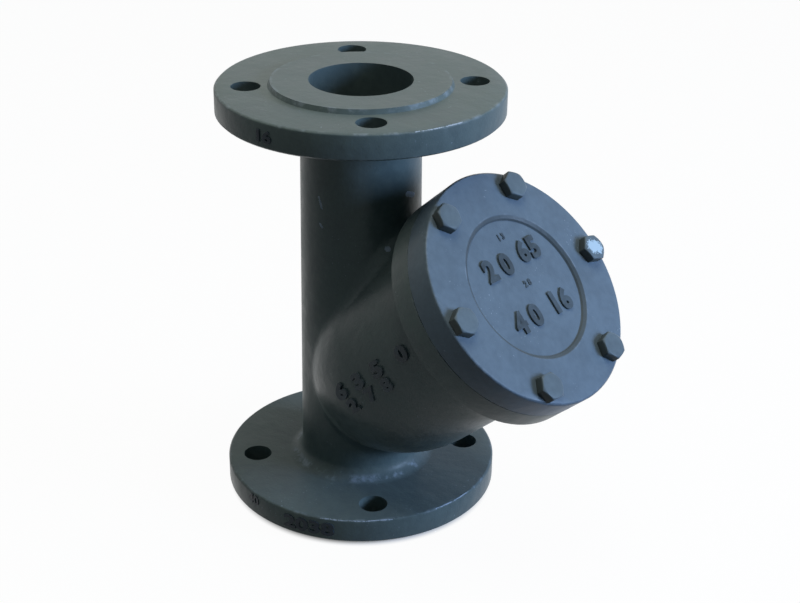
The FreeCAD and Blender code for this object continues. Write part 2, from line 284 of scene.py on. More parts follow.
def soft_lamp(name, place, aim, size, power, color):
    """A square area lamp that faces a point."""
    data = bpy.data.lights.new(name, "AREA")
    data.shape = "SQUARE"
    data.size = size
    data.energy = power
    data.color = color
    turn = (Vector(aim) - Vector(place)).to_track_quat("-Z", "Y").to_matrix().to_4x4()
    shown(name, data).matrix_world = Matrix.Translation(place) @ turn


def pale_floor():
    """A wide pale sheet just under the object, lifted towards white where it is seen directly.

    Under and round the lower flange its glow fades out, a painted shadow there, so that nothing glows through
    the flange's holes.
    """
    turns = ((-1, -1), (1, -1), (1, 1), (-1, 1))
    mesh = mesh_of("floor", [(x * FLOOR_REACH, y * FLOOR_REACH, FLOOR_LEVEL) for x, y in turns], [(0, 1, 2, 3)])
    floor = shown("floor", mesh)
    material, graph, place = begin_material("floor_sheet")
    seen = seen_directly(graph)
    matt = graph.node("BsdfDiffuse", {"Color": graph.mix(seen, (0.12, 0.12, 0.12, 1), (0.92, 0.92, 0.92, 1))})
    glow = graph.node("Emission", {"Color": (1, 1, 1, 1)})
    open_floor = graph.fade(graph.vector("LENGTH", place), UNLIT_RADIUS, LIT_RADIUS)
    share = graph.math("MULTIPLY", graph.math("MULTIPLY", seen, open_floor), FLOOR_WHITE)
    mix = graph.node("MixShader", {0: share, 1: matt.outputs[0], 2: glow.outputs[0]})
    graph.node("OutputMaterial", {"Surface": mix.outputs[0]})
    mesh.materials.append(material)


studio_world()
soft_lamp("overhead", (0.1, 0.0, 1.5), (0.03, 0.0, 0.15), 0.95, 10.5, (1.0, 1.0, 0.9))
soft_lamp("cover_side", (1.48, 0.6, 0.55), (0.08, 0.0, 0.18), 0.6, 31.0, (0.45, 0.64, 1.0))
pale_floor()
print("lamps:", sorted(lamp.name for lamp in bpy.data.lights))

# %% [markdown]
# A sand mould leaves its grain on the iron: lumps of about a millimetre from the sand, softer
# waves of several millimetres from the pattern, and broad unevenness from the hand that
# rammed it. Thick paint fills the finest part. Modelling that would take millions of faces,
# so it is a height for the Bump node, added up from three noises at those three scales. The
# lumps and a still broader noise also give a tone, because paint doesn't lie evenly thick.

# %% Skin of the sand mould
def sand_skin_group():
    """Height of the skin over the smooth iron, in metres, and the tone of the paint on it, 0 to 1."""
    graph, into, out = new_group("sand_skin", {"Place": "vector", "Coarse": "float"},
                                 {"Height": "float", "Tone": "float"})
    place = into["Place"]
    grain = graph.noise(place, 1.3 * MM, 2.0, 0.55)
    lumps = graph.noise(place, 4.5 * MM, 2.0, 0.5)
    waves = graph.noise(place, 19 * MM, 2.0, 0.5)
    height = graph.math("MULTIPLY", grain, 0.10 * MM)
    height = graph.math("MULTIPLY_ADD", lumps, 0.16 * MM, height)
    height = graph.math("MULTIPLY_ADD", waves, 0.6 * MM, height)
    link = graph.tree.links.new
    link(graph.math("MULTIPLY", height, into["Coarse"]), out["Height"])
    patches = graph.noise(place, 34 * MM, 3.0, 0.6)
    tone = graph.math("MULTIPLY_ADD", lumps, 0.35, graph.math("MULTIPLY", patches, 0.65))
    link(graph.fade(tone, 0.32, 0.68), out["Tone"])


sand_skin_group()
print("sand skin: grain 1.3 mm, lumps 4.5 mm, waves 19 mm")

# %% [markdown]
# Paint wears first along the rims, where a flange is set down and rolled, and where it was
# dragged against something hard. The rims are circles, so the distance of a point from one
# is exact: take the height over the circle's plane and how far the point lies inside or
# outside the circle, and join both as the sides of a right angle. A scratch is the same idea
# with a straight line. Two groups give these distances, and noise then breaks them up.
# The same distances also place some painted highlights and painted shade.

# %% Distance from a rim and from a scratch
def rim_distance_group():
    """Distance from a circle: the root of (height over its plane) squared plus (gap to the circle) squared."""
    graph, into, out = new_group("rim_distance",
                                 {"Place": "vector", "Centre": "vector", "Axis": "vector", "Radius": "float"},
                                 {"Distance": "float"})
    away = graph.vector("SUBTRACT", into["Place"], into["Centre"])
    height = graph.vector("DOT_PRODUCT", away, into["Axis"])
    flat = graph.vector("LENGTH", graph.vector("CROSS_PRODUCT", away, into["Axis"]))
    gap = graph.math("SUBTRACT", flat, into["Radius"])
    square = graph.math("MULTIPLY_ADD", gap, gap, graph.math("MULTIPLY", height, height))
    graph.tree.links.new(graph.math("SQRT", square), out["Distance"])


def stroke_distance_group():
    """Distance from a line's nearest point: the share of the way along it is held between 0 and 1."""
    graph, into, out = new_group("stroke_distance", {"Place": "vector", "Start": "vector", "End": "vector"},
                                 {"Distance": "float"})
    run = graph.vector("SUBTRACT", into["End"], into["Start"])
    away = graph.vector("SUBTRACT", into["Place"], into["Start"])
    along = graph.vector("DOT_PRODUCT", away, run)
    share = graph.math("DIVIDE", along, graph.vector("DOT_PRODUCT", run, run))
    held = graph.node("Clamp", {"Value": share}).outputs[0]
    nearest = graph.node("VectorMath", {0: run, "Scale": held}, operation="SCALE").outputs["Vector"]
    graph.tree.links.new(graph.vector("DISTANCE", away, nearest), out["Distance"])


rim_distance_group()
stroke_distance_group()
print("groups:", sorted(group.name for group in bpy.data.node_groups))

# %% [markdown]
# The paint itself is a thick blue grey enamel. A group turns its colour into what the eye
# sees: a shade darker and duller where the tone says that it lies thick, paler where dust has
# settled on faces that look up, and a pale primer colour where a mask says so. That mask marks
# worn paint, and on a few rims and edges a painted highlight. The material then gathers that
# mask from its rims, its scratches and small chips that lie in flocks, and darkens some circles
# with a painted shade, on walls and sides that are in shade. It only names its colours and
# places, so the casting, the cover, the numbers and the bolts can share it.

# %% Thick paint
def thick_paint_group():
    """Colour and roughness of the paint from how thick, how worn and how dusty it is, and where its pale colour
    is a painted highlight.
    """
    graph, into, out = new_group("thick_paint", {"Thin": "color", "Thick": "color", "Bare": "color",
                                                 "Tone": "float", "Wear": "float", "Dust": "float"},
                                 {"Color": "color", "Roughness": "float"})
    paint = graph.mix(into["Tone"], into["Thick"], into["Thin"])
    upward = graph.node("SeparateXYZ", {0: graph.node("NewGeometry").outputs["Normal"]}).outputs["Z"]
    settled = graph.math("MULTIPLY", graph.fade(upward, 0.3, 1.0), into["Dust"])
    dusty = graph.mix(settled, paint, (0.30, 0.32, 0.31, 1))
    graph.tree.links.new(graph.mix(into["Wear"], dusty, into["Bare"]), out["Color"])
    sheen = graph.math("MULTIPLY_ADD", into["Tone"], 0.12, 0.3)
    sheen = graph.math("MULTIPLY_ADD", settled, 0.5, sheen)
    graph.tree.links.new(graph.math("MULTIPLY_ADD", into["Wear"], 0.15, sheen), out["Roughness"])


thick_paint_group()
# A dark colour mixed into the paint where shade falls: painted shade.
PAINTED_SHADE = (0.035, 0.04, 0.034, 1)


def paint_material(name, thin, thick, coarse=1.0, dust=0.1, rims=(), strokes=(), corners=(),
                   bare_and_highlight=(0.38, 0.43, 0.5), ragged_edge=1.4 * MM, specks=0.0):
    """Painted iron with its worn paint, painted highlights and painted shade.

    rims are pale circles (centre, axis, radius, width, share pale): worn paint, and on some rims a
    painted highlight. strokes are pale lines (start, end, half width) of the same two kinds. corners
    are circles like the rims, where a painted shade darkens the paint instead. specks is how far
    the small chips that lie in loose flocks over the surface show the primer.
    """
    material, graph, place = begin_material(name)
    skin = use_group(graph, "sand_skin", {"Place": place, "Coarse": coarse})

    def from_circle(centre, axis, radius):
        return use_group(graph, "rim_distance", {"Place": place, "Centre": centre, "Axis": axis,
                                                 "Radius": radius})["Distance"]

    flock = graph.fade(graph.noise(place, 26 * MM, 1.0), 0.54, 0.66)
    chips = graph.fade(graph.noise(place, 1.6 * MM, 1.0), 0.7, 0.74)
    wear_and_highlight = graph.math("MULTIPLY", graph.math("MULTIPLY", flock, chips), specks)
    patchy = graph.noise(place, 9 * MM, 3.0, 0.65)
    # A rim's pale band is worn paint, and on some rims a painted highlight.
    for centre, axis, radius, width, share in rims:
        near = graph.fade(from_circle(centre, axis, radius), width, 0.15 * width)
        near = graph.math("MULTIPLY", near, graph.fade(patchy, 0.46, 0.7))
        wear_and_highlight = graph.math("MAXIMUM", wear_and_highlight, graph.math("MULTIPLY", near, share))
    crumbs = graph.math("SUBTRACT", graph.noise(place, 1.1 * MM, 3.0, 0.6), 0.5)
    ragged = graph.math("MULTIPLY", crumbs, ragged_edge)
    for start, end, half in strokes:
        away = use_group(graph, "stroke_distance", {"Place": place, "Start": start, "End": end})["Distance"]
        mark = graph.fade(graph.math("ADD", away, ragged), half + 0.15 * MM, half - 0.1 * MM)
        wear_and_highlight = graph.math("MAXIMUM", wear_and_highlight, mark)
    paint = use_group(graph, "thick_paint", {"Thin": (*thin, 1), "Thick": (*thick, 1), "Bare": (*bare_and_highlight, 1),
                                             "Tone": skin["Tone"], "Wear": wear_and_highlight, "Dust": dust})
    color = paint["Color"]
    # Painted shade: these circles darken the paint towards PAINTED_SHADE where the surface is in shade.
    for centre, axis, radius, width, share in corners:
        near = graph.fade(from_circle(centre, axis, radius), width, 0.6 * width)
        color = graph.mix(graph.math("MULTIPLY", near, share), color, PAINTED_SHADE)
    bump = graph.node("Bump", {"Height": skin["Height"], "Distance": 1.0, "Strength": 0.9})
    end_material(graph, {"Base Color": color, "Roughness": paint["Roughness"], "Specular IOR Level": 0.12,
                         "Normal": bump.outputs["Normal"]})
    return material


print("groups:", sorted(group.name for group in bpy.data.node_groups))

# %% [markdown]
# The solids come as loose flat triangles. On the real iron every edge is softened by paint,
# so a copy of the triangles is welded together and shaded smooth, with only the true corners
# kept sharp. Weighted normals let the broad flat faces stay flat, which leaves the bend to
# the narrow chamfer between them: it then catches the light as a rounded rim would. Pieces
# that later cells work out with numpy are welded and shaded by the same function.

# %% Welded copies of the solids
def soften(mesh, sharp_degrees, weld, source=None, turn_out=False):
    """Welds a mesh and shades it smooth between faces that meet at less than an angle.

    source is another mesh to take the faces from, and turn_out makes all faces look outwards.
    """
    sheet = bmesh.new()
    sheet.from_mesh(source or mesh)
    bmesh.ops.remove_doubles(sheet, verts=sheet.verts, dist=weld)
    if turn_out:
        bmesh.ops.recalc_face_normals(sheet, faces=sheet.faces)
    limit = math.radians(sharp_degrees)
    for face in sheet.faces:
        face.smooth = True
    for edge in sheet.edges:
        edge.smooth = len(edge.link_faces) == 2 and edge.calc_face_angle(0.0) < limit
    sheet.to_mesh(mesh)
    sheet.free()


def welded_copy(node, name, material, sharp_degrees=60.0):
    """A piece with a node's own surface, welded and softened, in that node's place."""
    mesh = bpy.data.meshes.new(name)
    soften(mesh, sharp_degrees, 0.002 * MM, source=frame["nodes"][node].data)
    mesh.materials.clear()
    mesh.materials.append(material)
    piece = shown(name, mesh)
    weigh = piece.modifiers.new("flat_faces", "WEIGHTED_NORMAL")
    weigh.keep_sharp = True
    weigh.weight = 60
    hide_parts(node)
    print("%s: %d faces, sharp above %.0f degrees" % (name, len(mesh.polygons), sharp_degrees))
    return piece


print("triangles in the casting's node:", len(frame["nodes"]["body_casting"].data.polygons))

# %% [markdown]
# The casting is one piece of grey iron: run, barrel and all three flanges. Its rims are worn
# a little all round. A pale band on the fillet that the run stands on is a painted highlight,
# and the pale band on the edge of the top raised face is partly worn paint and partly a painted
# highlight. The pipe flanges have pale stretches on their edges: worn paint on the lower flange,
# and a painted highlight on the top flange's front. The run carries two short scratches, and two
# pale marks lie where the barrel's flange comes close to the run: the lower is a chip, the upper
# a painted highlight of a glint. Painting these marks by hand would need a picture laid over the
# surface. Here every mark is a circle or a line at its measured place on the solid.

# %% Casting
UP = (0.0, 0.0, 1.0)
RUN_RADIUS, RAISED_FACE_RADIUS = 40 * MM, 58 * MM
MOUTH_JOINT = COVER_FACE - COVER_THICKNESS - 0.5 * MM
casting_wear_and_highlights = [((0, 0, height), UP, FLANGE_RADIUS - 0.7 * MM, 2.2 * MM, 0.28)
                for height in (BOTTOM + 3 * MM, BOTTOM + 20 * MM, TOP - 20 * MM, TOP - 3 * MM)]
casting_wear_and_highlights += [
    (on_axis(MOUTH_JOINT), AXIS, COVER_RADIUS, 1.5 * MM, 0.12),
    # Partly worn paint and partly a painted highlight, along the edge of the top raised face.
    ((0, 0, TOP - 0.6 * MM), UP, RAISED_FACE_RADIUS, 3.2 * MM, 0.28),
    # A painted highlight: a pale band along the fillet that the run stands on.
    ((0, 0, 22.3 * MM), UP, 45.6 * MM, 4.2 * MM, 0.55),
]


def round_pipe(radius, height, degrees):
    """A point at a radius from the pipe's axis, a height and an angle about it."""
    turn = math.radians(degrees)
    return (radius * math.cos(turn), radius * math.sin(turn), height)


EDGE_RADIUS = FLANGE_RADIUS - 0.6 * MM
# Pale stretches on the flange edges: the top flange's is a painted highlight of its front edge, the lower
# flange's are worn paint.
edge_wear_and_highlights = [(TOP - 3.4 * MM, (-30, -24, -17, -9), 0.36 * MM),
              (19.4 * MM, (-67, -58, -48, -37), 0.22 * MM),
              (19.4 * MM, (-17, -8, 2), 0.22 * MM)]
casting_strokes = [(round_pipe(EDGE_RADIUS, height, start), round_pipe(EDGE_RADIUS, height, end), half)
                   for height, turns, half in edge_wear_and_highlights for start, end in zip(turns, turns[1:])]
casting_strokes += [
    (round_pipe(RUN_RADIUS, 222 * MM, -92.5), round_pipe(RUN_RADIUS, 215 * MM, -89.0), 1.0 * MM),
    (round_pipe(RUN_RADIUS, 203.5 * MM, -91.0), round_pipe(RUN_RADIUS, 202 * MM, -88.6), 1.0 * MM),
    ((0.0379, -0.0200, 0.191), (0.0392, -0.0155, 0.188), 1.7 * MM),
    # A painted highlight: a bright glint on the run under the barrel's flange, drawn as a chip.
    ((0.0392, -0.001, 0.223), (0.0390, 0.0050, 0.2205), 1.7 * MM),
]
casting_paint = paint_material("casting_paint", (0.098, 0.129, 0.125), (0.076, 0.103, 0.104),
                               rims=casting_wear_and_highlights, strokes=casting_strokes, specks=0.3)
casting_skin = welded_copy("body_casting", "casting_skin", casting_paint)
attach(casting_skin, "casting")

# %% [markdown]
# The cover is a separate casting. Its paint is a shade bluer than the casting's, which is the
# cool light of the lamp on its side painted into its colour. Its rim and the edge of its shallow
# recess are where the paint has rubbed thin, and a painted shade darkens the recess's slanted
# wall, which is in shade. The real wall is steeper than the solid's: the circle where it meets
# the floor is moved out by a millimetre, and the circles of the wall are marked sharp.

# %% Cover
RECESS_DEPTH, RECESS_RADIUS, RECESS_FLOOR_RADIUS = 2.3 * MM, 48 * MM, 45 * MM
COVER_FLOOR = COVER_FACE - RECESS_DEPTH
cover_rims = [(on_axis(COVER_FACE - 0.5 * MM), AXIS, COVER_RADIUS - 0.5 * MM, 2.0 * MM, 0.2),
              (on_axis(COVER_FACE), AXIS, RECESS_RADIUS, 1.2 * MM, 0.2)]
# A painted shade on the recess's slanted wall, which is in shade.
painted_shade_wall = [(on_axis(COVER_FACE - 1.2 * MM), AXIS, 46.5 * MM, 2.3 * MM, 0.6)]
# The cover's paint is bluer than the casting's: painted cool light.
cool_lit_cover_paint = paint_material("cool_lit_cover_paint", (0.112, 0.151, 0.188), (0.087, 0.12, 0.152), coarse=0.9,
                             rims=cover_rims, corners=painted_shade_wall, specks=0.35)
cover_skin = welded_copy("cover", "cover_skin", cool_lit_cover_paint)
reach, side, rise = mesh_places(cover_skin.data).T
from_axis = np.hypot(side, rise)
foot_of_wall = (np.abs(reach - COVER_FLOOR) < 0.1 * MM) & (from_axis > 42 * MM) & (from_axis < 47 * MM)
spread = np.where(foot_of_wall, RECESS_FLOOR_RADIUS, from_axis) / np.maximum(from_axis, 0.01 * MM)
cover_skin.data.vertices.foreach_set("co", on_branch(reach, side * spread, rise * spread).ravel())
for edge in cover_skin.data.edges:
    ends = from_axis[list(edge.vertices)]
    if ends.min() > 43 * MM and ends.max() < 48.5 * MM and abs(ends[0] - ends[1]) < 0.1 * MM:
        edge.use_edge_sharp = True
cover_skin.data.update()
print("recess wall steepened at %d corners" % foot_of_wall.sum())
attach(cover_skin, "cover")

# %% [markdown]
# Paint went on after the cover was bolted down, so it bridges the joint and leaves the dark
# line open in a few places only. A thin band fills the half millimetre gap there. It is a
# strip of five rows round the joint's circle, one arc for each bridge: the rows bulge a little
# in the middle, and the strip sinks into the joint at its ends. A whole ring would close the
# line everywhere. The strip stays with the casting when the cover is lifted.

# %% Paint in the joint
def joint_paint(arcs):
    """Bands in the joint: a row of corners for each (reach, radius) over the joint's circle, for each arc."""
    corners, faces = [], []
    count = 0
    for start, end in arcs:
        turn = np.radians(np.linspace(start, end, int(abs(end - start)) + 2))
        depth = np.minimum(1.0, np.minimum(np.arange(len(turn)), np.arange(len(turn))[::-1]) / 2)
        for reach, radius in ((0.02, -0.7), (0.1, -0.05), (0.25, 0.05), (0.4, -0.05), (0.48, -0.7)):
            out = COVER_RADIUS + radius * MM - 0.6 * MM * (1 - depth)
            level = np.full_like(turn, MOUTH_JOINT + reach * MM)
            corners.append(on_branch(level, out * np.cos(turn), out * np.sin(turn)))
        index = np.arange(5 * len(turn)).reshape(5, -1) + count
        quads = np.stack([index[:-1, :-1], index[1:, :-1], index[1:, 1:], index[:-1, 1:]], -1)
        faces += quads.reshape(-1, 4).tolist()
        count += 5 * len(turn)
    mesh = mesh_of("joint_paint", np.concatenate(corners), faces)
    mesh.materials.append(casting_paint)
    piece = shown("joint_paint", mesh)
    for face in mesh.polygons:
        face.use_smooth = True
    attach(piece, "casting")
    print("joint paint: %d bridges" % len(arcs))


joint_paint([(20, 128), (136, 158), (171, 186), (199, 214), (240, 325)])

# %% [markdown]
# Cast numbers stand up from the iron by about a millimetre. Blender's text gives their
# outline, a small bevel rounds them as paint would, and the mesh that comes out of it is then
# laid on the surface by a formula: flat in the cover's recess, wrapped round the barrel, or
# wrapped round a flange's rim. Displacing the casting itself would need a far denser mesh.
# They are plain numbers, which any such casting could carry. Their paint is darker than
# the iron around them: a painted shade for the shadows of their relief.

# %% Cast numbers
def number_relief(text, stretch, height, rise, bold=0.018):
    """Corners and faces of a raised number about its own middle: x right, y up, z from -rise to rise.

    Its width is that of the type at that height, times stretch. bold widens the strokes.
    """
    curve = bpy.data.curves.new("number", "FONT")
    curve.body = text
    curve.extrude = 0.5
    curve.offset = bold
    curve.bevel_depth = 0.03
    curve.resolution_u = 4
    letter = shown("number", curve)
    mesh = bpy.data.meshes.new_from_object(letter.evaluated_get(bpy.context.evaluated_depsgraph_get()))
    spots = np.empty(len(mesh.vertices) * 3)
    mesh.vertices.foreach_get("co", spots)
    spots = spots.reshape(-1, 3)
    faces = [tuple(face.vertices) for face in mesh.polygons]
    low, high = spots.min(axis=0), spots.max(axis=0)
    tall = height / (high[1] - low[1])
    spots = (spots - (low + high) / 2) * np.array([tall * stretch, tall, 2 * rise / (high[2] - low[2])])
    bpy.data.objects.remove(letter)
    bpy.data.curves.remove(curve)
    bpy.data.meshes.remove(mesh)
    return spots, faces


def on_cover_floor(x, y, z, side, rise, level):
    """Flat on the cover: x across, y uphill, z outwards from a level along the barrel's axis."""
    return on_branch(level + z, side + x, rise + y)


def on_barrel_side(x, y, z, reach, degrees, radius):
    """Round the barrel: x along its axis, y as an arc at its surface, z outwards."""
    turn = math.radians(degrees) - y / radius
    return on_branch(reach + x, (radius + z) * np.cos(turn), (radius + z) * np.sin(turn))


def on_flange_rim(x, y, z, height, degrees, radius):
    """Round a pipe flange's rim: x as an arc to the right, y up, z outwards."""
    turn = math.radians(degrees) + x / radius
    return np.stack([(radius + z) * np.cos(turn), (radius + z) * np.sin(turn), height + y], axis=-1)


def cast_numbers(name, marks, lay, body, material, bold=0.018):
    """One piece from several numbers. marks are (text, stretch, height, rise, three places for lay)."""
    corners, faces = [], []
    count = 0
    for text, stretch, height, rise, places in marks:
        spots, sides = number_relief(text, stretch, height, rise, bold)
        corners.append(lay(spots[:, 0], spots[:, 1], spots[:, 2], *places))
        faces += [tuple(corner + count for corner in face) for face in sides]
        count += len(spots)
    mesh = mesh_of(name, np.concatenate(corners), faces)
    soften(mesh, 50.0, 0.005 * MM)
    mesh.materials.append(material)
    piece = shown(name, mesh)
    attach(piece, body)
    print("%s: %d faces" % (name, len(mesh.polygons)))


# Darker paint on the numbers: painted shade for the shadows of their relief.
shaded_number_paint = paint_material("shaded_number_paint", (0.07, 0.094, 0.112), (0.042, 0.056, 0.066),
                              coarse=1.2, dust=0.0)
cover_marks = [(text, 0.98, 15 * MM, 1.4 * MM, (side * MM, rise * MM, COVER_FLOOR)) for text, side, rise in (
    ("2", -21, 19), ("0", -5, 18), ("6", 14.4, 20.0), ("5", 24.9, 19.4),
    ("4", -21.5, -17.5), ("0", -5.9, -17.7), ("1", 15, -17.2), ("6", 25.4, -18.2))]
cover_marks += [(text, 0.9, 4.5 * MM, 0.5 * MM, (side * MM, rise * MM, COVER_FLOOR)) for text, side, rise in (
    ("1", 2.4, 34.2), ("3", 6.4, 34.2), ("2", 1.6, 1.7), ("8", 5.6, 1.7))]
cast_numbers("cover_numbers", cover_marks, on_cover_floor, "cover", shaded_number_paint)

BARREL_RADIUS = 62.5 * MM
barrel_marks = [(text, 1.45, 11 * MM, 1.3 * MM, (reach * MM, 176.0, BARREL_RADIUS))
                for text, reach in (("6", 53), ("3", 72), ("5", 92.5), ("0", 119))]
barrel_marks += [(text, 1.4, 9.5 * MM, 1.2 * MM, (reach * MM, 186.5, BARREL_RADIUS))
                 for text, reach in (("2", 56), ("7", 76), ("8", 93))]
cast_numbers("barrel_numbers", barrel_marks, on_barrel_side, "casting", shaded_number_paint, 0.03)

rim_marks = [("16", 1.3, 8 * MM, 0.8 * MM, (278.3 * MM, -88.0, FLANGE_RADIUS)),
             ("2038", 1.4, 10.0 * MM, 0.7 * MM, (12.0 * MM, -72.0, FLANGE_RADIUS)),
             ("40", 1.2, 7 * MM, 0.5 * MM, (15.0 * MM, -101.0, FLANGE_RADIUS))]
# Still darker paint on the rim numbers: painted shade, as on the other numbers.
shaded_rim_number_paint = paint_material("shaded_rim_number_paint", (0.03, 0.042, 0.055), (0.018, 0.025, 0.034),
                                   coarse=0.6, dust=0.0)
cast_numbers("rim_numbers", rim_marks, on_flange_rim, "casting", shaded_rim_number_paint, 0.005)

# %% [markdown]
# Each cover bolt is a hexagon bolt. Two shapes cross in its head: a six sided prism, and a
# blunt cone that takes the corners off its top, which gives the curved lines on the flats.
# Cutting one solid with the other would give those lines too, but with ragged small faces.
# Written as one formula, the head's radius over the angle is the prism's, and the height of
# its top edge falls with that radius as the cone does. The same grid then runs down the shank,
# where a helix lets the radius rise and fall once in every pitch. Paint under the head holds
# it a hair off the cover, a painted shade darkens its sides, and one head is scuffed to bare
# metal. Like the cover's, the bolts' paint is bluer than the casting's: painted cool light.

# %% Bolts
def grid_mesh(name, points):
    """A mesh from rows of points round an axis: neighbours are joined, and one face closes each end."""
    index = np.arange(points.shape[0] * points.shape[1]).reshape(points.shape[:2])
    after = np.roll(index, -1, axis=1)
    faces = np.stack([index[:-1], after[:-1], after[1:], index[1:]], axis=-1).reshape(-1, 4).tolist()
    faces += [index[0][::-1].tolist(), index[-1].tolist()]
    return mesh_of(name, points.reshape(-1, 3), faces)


SHANK_RADIUS = 5.0 * MM
THREAD_PITCH = 1.5 * MM
THREAD_DEPTH = 0.85 * MM
PAINT_UNDER_HEAD = 0.04 * MM
CROWN_SHARE = 0.475
CONE_FALL = 0.577
BARE_BOLT = 2


def bolt_surface(head_height, flats, length, corner_turn):
    """Rows of (radius, height) over the angle: crown, cone, prism, bearing face, threaded shank, end.

    The prism's radius is half the width over flats, divided by the cosine of the angle from the
    middle of the flat. The thread's depth rises and falls once in a pitch, and the turn shifts it.
    """
    turn = corner_turn + np.arange(72) * (2 * math.pi / 72)
    in_flat = np.mod(turn - corner_turn, math.pi / 3) - math.pi / 6
    prism = flats / 2 / np.cos(in_flat)
    crown = CROWN_SHARE * flats
    still = np.ones_like(turn)
    rows = [(crown * 0.5 * still, head_height * still), ((crown - 0.3 * MM) * still, head_height * still),
            (crown * still, (head_height - 0.06 * MM) * still),
            (prism - 0.12 * MM, head_height - (prism - 0.12 * MM - crown) * CONE_FALL),
            (prism, head_height - (prism - crown) * CONE_FALL - 0.14 * MM),
            (prism, 0.25 * MM * still), (prism - 0.2 * MM, PAINT_UNDER_HEAD * still),
            (SHANK_RADIUS * still, PAINT_UNDER_HEAD * still)]
    steps = np.arange(-1.5 * MM, -(length - 1.2 * MM), -THREAD_PITCH / 4)
    for height in steps:
        phase = np.mod(height / THREAD_PITCH + turn / (2 * math.pi), 1.0)
        ramp_in = min(1.0, (-height - 1.5 * MM) / (2 * MM), (length + height) / (1.6 * MM))
        depth = THREAD_DEPTH * (1 - np.abs(2 * phase - 1)) * max(0.15, ramp_in)
        rows.append((SHANK_RADIUS - depth, height * still))
    rows.append((SHANK_RADIUS * 0.8 * still, -length * still))
    radius = np.array([row[0] for row in rows])
    height = np.array([row[1] for row in rows])
    return radius * np.cos(turn), radius * np.sin(turn), height


for number in range(1, 7):
    node = "cover_bolt_%d" % number
    places = node_places(node)
    shank = places[places[:, 0] < COVER_FACE - 5 * MM]
    middle = (shank[:, 1:].min(axis=0) + shank[:, 1:].max(axis=0)) / 2
    head = places[places[:, 0] > COVER_FACE + 3 * MM][:, 1:] - middle
    reach = np.hypot(head[:, 0], head[:, 1])
    corner = head[np.argmax(reach)]
    head_height = float(places[:, 0].max() - COVER_FACE)
    length = float(COVER_FACE - places[:, 0].min())
    flats = float(reach.max() * math.sqrt(3))
    side, rise, height = bolt_surface(head_height, flats, length, math.atan2(corner[1], corner[0]))
    mesh = grid_mesh("bolt_%d" % number, on_branch(COVER_FACE + height, middle[0] + side, middle[1] + rise))
    soften(mesh, 40.0, 0.001 * MM, turn_out=True)
    scuff = []
    if number == BARE_BOLT:
        ends = middle + np.array([[-1.5 * MM, 1 * MM], [2 * MM, -1 * MM]])
        start, end = on_branch(COVER_FACE + head_height, ends[:, 0], ends[:, 1])
        scuff = [(plain(start), plain(end), 4.2 * MM)]
    # A painted shade on the head's sides, from the cover up: they are in shade.
    sides = [(plain(on_branch(COVER_FACE + 2.2 * MM, *middle)), AXIS, 8.6 * MM, 4.1 * MM, 0.75)]
    # The bolt paint is bluer than the casting's: painted cool light, as on the cover.
    mesh.materials.append(paint_material(
        "bolt_paint_%d" % number, (0.115, 0.15, 0.17), (0.085, 0.112, 0.13), coarse=0.35, dust=0.05,
        strokes=scuff, corners=sides, bare_and_highlight=(0.42, 0.52, 0.58), ragged_edge=9 * MM))
    piece = shown("bolt_%d" % number, mesh)
    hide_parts(node)
    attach(piece, "bolt_%d" % number)
print("six bolts: head %.1f mm high, %.1f mm across flats, %.0f mm long" % (
    head_height / MM, flats / MM, length / MM))

# %% [markdown]
# The basket is a stainless sheet, punched with round holes in staggered rows and rolled into
# a tube. Unrolled, it is a pattern of square cells with one hole each. A ring of points on
# the hole and a ring on the cell's border, joined by a band of faces, make one cell. Rows are
# set off by half a cell, and because the border has eight points on a side, the points of
# neighbouring rows still meet. The flat pattern is then rolled up by the angle formula.

# %% Punched sheet and end rings
def steel_material(name, color, roughness, streak):
    """Rolled stainless steel: fine streaks along its rolling direction and a slight unevenness of gloss."""
    material, graph, place = begin_material(name)
    stretched = graph.node("Mapping", {"Vector": place, "Scale": (1.0, 1.0, streak)}).outputs[0]
    grain = graph.noise(stretched, 0.8 * MM, 2.0, 0.5)
    cloud = graph.noise(place, 12 * MM, 3.0, 0.6)
    tint = graph.mix(graph.fade(cloud, 0.3, 0.7), (*color, 1), (*[value * 0.82 for value in color], 1))
    rough = graph.math("MULTIPLY_ADD", grain, 0.18, graph.math("MULTIPLY_ADD", cloud, 0.1, roughness))
    bump = graph.node("Bump", {"Height": graph.math("MULTIPLY", grain, 0.012 * MM), "Distance": 1.0})
    end_material(graph, {"Base Color": tint, "Roughness": rough, "Metallic": 1.0,
                         "Normal": bump.outputs["Normal"]})
    return material


stainless = steel_material("stainless_sheet", (0.58, 0.575, 0.56), 0.24, 12.0)
wire_steel = steel_material("stainless_wire", (0.5, 0.495, 0.48), 0.3, 1.0)

tube_places = node_places("basket_tube")
TUBE_LOW, TUBE_HIGH = float(tube_places[:, 0].min()), float(tube_places[:, 0].max())
tube_reach = np.hypot(tube_places[:, 1], tube_places[:, 2])
TUBE_OUTER, TUBE_INNER = float(tube_reach.max()), float(tube_reach.max() - 1.5 * MM)
HOLE_ROWS, HOLES_ROUND, HOLE_RADIUS, END_MARGIN = 7, 12, 6 * MM, 15 * MM
ROW_PITCH = (TUBE_HIGH - TUBE_LOW - 2 * END_MARGIN) / (HOLE_ROWS - 1)


def cell_rings():
    """32 points on the border of a unit square, and the angle at which each is seen from its middle."""
    step = np.arange(8) / 8
    ones = np.ones(8) / 2
    border = np.concatenate([np.stack([ones, step - 0.5], 1), np.stack([0.5 - step, ones], 1),
                             np.stack([-ones, 0.5 - step], 1), np.stack([step - 0.5, -ones], 1)])
    return border, np.arctan2(border[:, 1], border[:, 0])


def rolled_up(flat):
    """Places (turn, reach, radius) on the barrel, in the scene: the turn starts on the downhill side."""
    turn, reach, radius = flat.T
    return on_branch(reach, radius * np.sin(turn), -radius * np.cos(turn))


